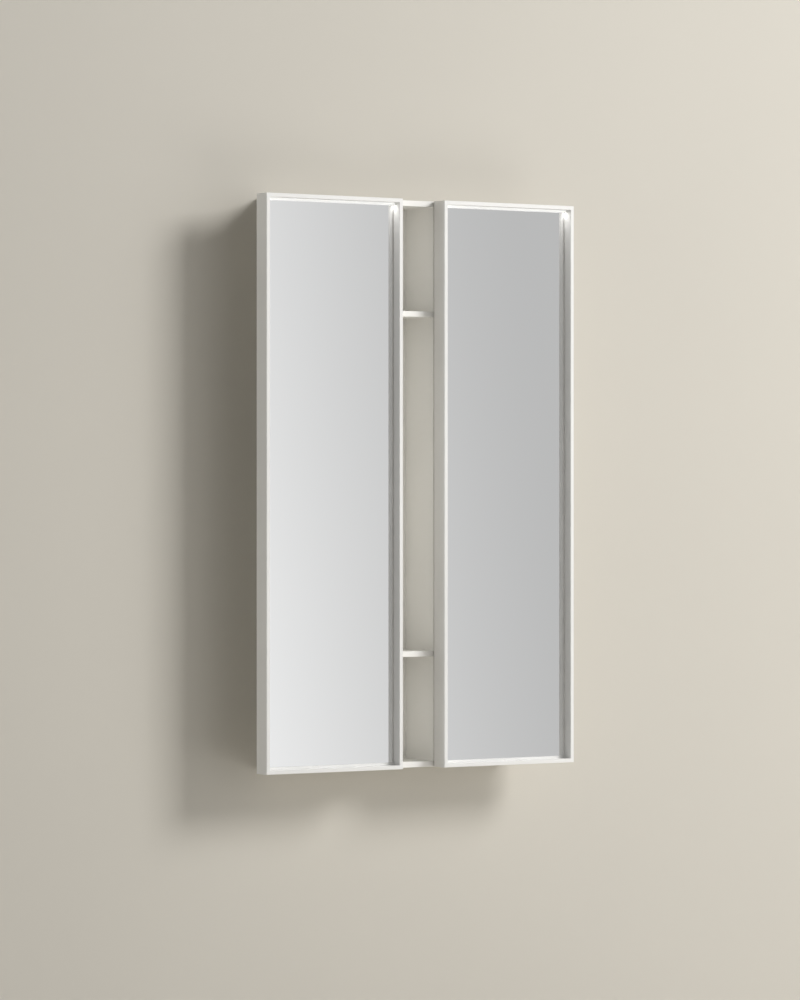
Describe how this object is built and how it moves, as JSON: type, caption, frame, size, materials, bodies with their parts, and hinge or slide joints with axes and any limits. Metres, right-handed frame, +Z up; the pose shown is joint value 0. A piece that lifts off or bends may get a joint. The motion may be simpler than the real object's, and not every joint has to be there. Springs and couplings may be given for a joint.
{
  "type": "medicine cabinet with mirror",
  "caption": "Tall wall-hung bathroom cabinet with framed mirror doors lit from within, glass shelves behind them and a narrow open niche between.",
  "frame": {"origin": "centre of the flat back that lies against the wall", "axes": "+X to the viewer's right, +Z up, doors face -Y and the wall is at +Y"},
  "size_m": [0.65, 0.13, 1],
  "materials": {
    "frame_lacquer": "white satin lacquer",
    "lacquered_board": "white satin lacquer on fibreboard",
    "hinge_white": "white satin powder coat",
    "mirror_glass": "polished silvered glass",
    "shelf_glass": "clear polished glass",
    "opal_diffuser": "opal, lit",
    "led_board": "white circuit board",
    "aluminium": "satin anodised",
    "grey_backing": "pale grey coated board",
    "steel": "zinc plated",
    "magnet": "dark ferrite",
    "white_plastic": "moulded",
    "grey_plastic": "moulded",
    "clear_rubber": "soft translucent"
  },
  "bodies": {
    "carcass": {"top_panel": "lacquered_board", "bottom_panel": "lacquered_board", "niche_back_panel": "lacquered_board", "shelf_pins": "steel", "hinge_arm_screws": "steel", "catch_housings": "white_plastic", "catch_magnets": "magnet", "door_buffers": "clear_rubber", "hanger_screws": "steel", "hanger_hooks": "steel", "wall_rails": "steel", "led_driver": "white_plastic", "driver_clips": "steel", "cable_gland": "grey_plastic", "lower_niche_shelf": "lacquered_board", "upper_niche_shelf": "lacquered_board", "left_side_panel": "lacquered_board", "left_niche_panel": "lacquered_board", "left_back_panel": "lacquered_board", "left_hinge_arms": "hinge_white", "left_hanger": "white_plastic", "left_glass_shelf_lower": "shelf_glass", "left_glass_shelf_middle": "shelf_glass", "left_glass_shelf_upper": "shelf_glass", "right_side_panel": "lacquered_board", "right_niche_panel": "lacquered_board", "right_back_panel": "lacquered_board", "right_hinge_arms": "hinge_white", "right_hanger": "white_plastic", "right_glass_shelf_lower": "shelf_glass", "right_glass_shelf_middle": "shelf_glass", "right_glass_shelf_upper": "shelf_glass"},
    "left_door": {"left_door_hinge_stile": "frame_lacquer", "left_door_outer_stile": "frame_lacquer", "left_door_top_rail": "frame_lacquer", "left_door_bottom_rail": "frame_lacquer", "left_door_mirror": "mirror_glass", "left_door_mirror_backing": "grey_backing", "left_door_mirror_support": "frame_lacquer", "left_door_back": "frame_lacquer", "left_door_light_channel": "aluminium", "left_door_led_strip": "led_board", "left_door_light_diffuser": "opal_diffuser", "left_door_hinge_blocks": "hinge_white", "left_door_hinge_pins": "steel", "left_door_strike_plates": "steel"},
    "right_door": {"right_door_hinge_stile": "frame_lacquer", "right_door_outer_stile": "frame_lacquer", "right_door_top_rail": "frame_lacquer", "right_door_bottom_rail": "frame_lacquer", "right_door_mirror": "mirror_glass", "right_door_mirror_backing": "grey_backing", "right_door_mirror_support": "frame_lacquer", "right_door_back": "frame_lacquer", "right_door_light_channel": "aluminium", "right_door_led_strip": "led_board", "right_door_light_diffuser": "opal_diffuser", "right_door_hinge_blocks": "hinge_white", "right_door_hinge_pins": "steel", "right_door_strike_plates": "steel"}
  },
  "joints": [
    {"name": "left_door_hinge", "type": "hinge", "parent": "carcass", "child": "left_door", "pos_m": [-0.0488, -0.1035, 0], "axis": [0, 0, 1], "range_deg": [0, 90]},
    {"name": "right_door_hinge", "type": "hinge", "parent": "carcass", "child": "right_door", "pos_m": [0.0488, -0.1035, 0], "axis": [0, 0, -1], "range_deg": [0, 90]}
  ]
}
